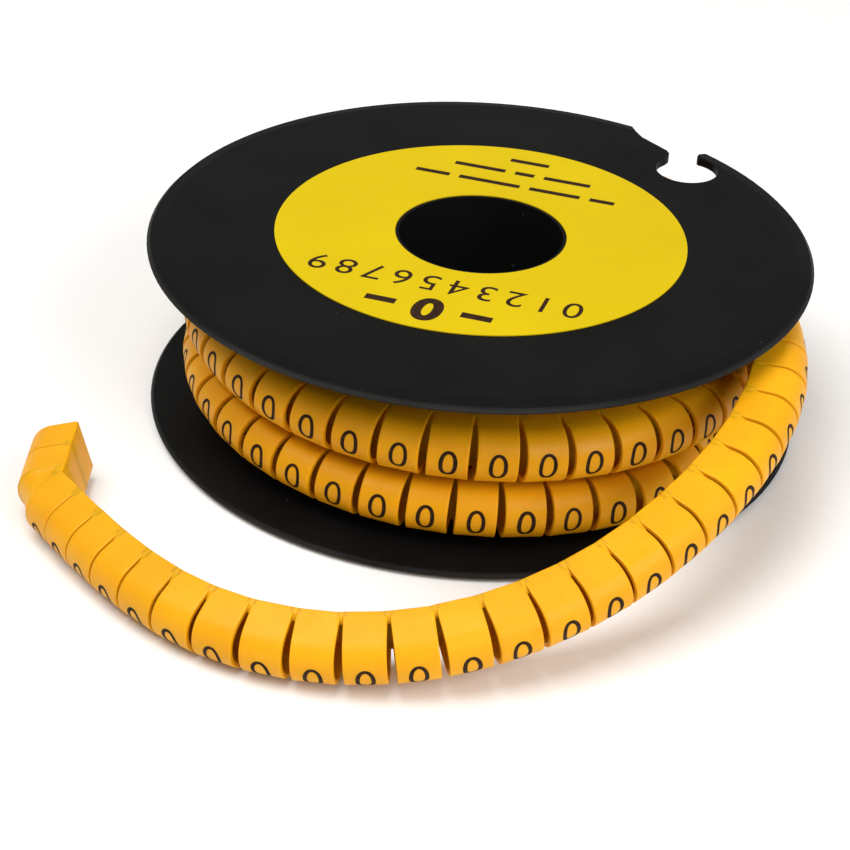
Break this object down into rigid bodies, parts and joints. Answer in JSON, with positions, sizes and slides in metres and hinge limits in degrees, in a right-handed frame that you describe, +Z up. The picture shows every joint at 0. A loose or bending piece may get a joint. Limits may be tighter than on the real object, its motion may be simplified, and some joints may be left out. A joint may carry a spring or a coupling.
{
  "type": "cable marker",
  "caption": "Reel of slit D-section cable markers: a flanged hub carries a wound strip of hollow numbered markers, whose free tail lies out in front.",
  "frame": {"origin": "on the reel axis at the table plane, the underside of the lower flange", "axes": "+Z up along the reel axis, -Y towards the viewer and the free tail, +X to the right"},
  "size_m": [0.1145, 0.1284, 0.0287],
  "materials": {
    "reel": "satin black moulded plastic",
    "label": "semi-gloss printed sticker",
    "strip": "soft semi-gloss vinyl"
  },
  "bodies": {
    "root": {"upper_flange": "reel", "lower_flange": "reel", "label": "label", "marker_strip": "strip"}
  },
  "joints": []
}
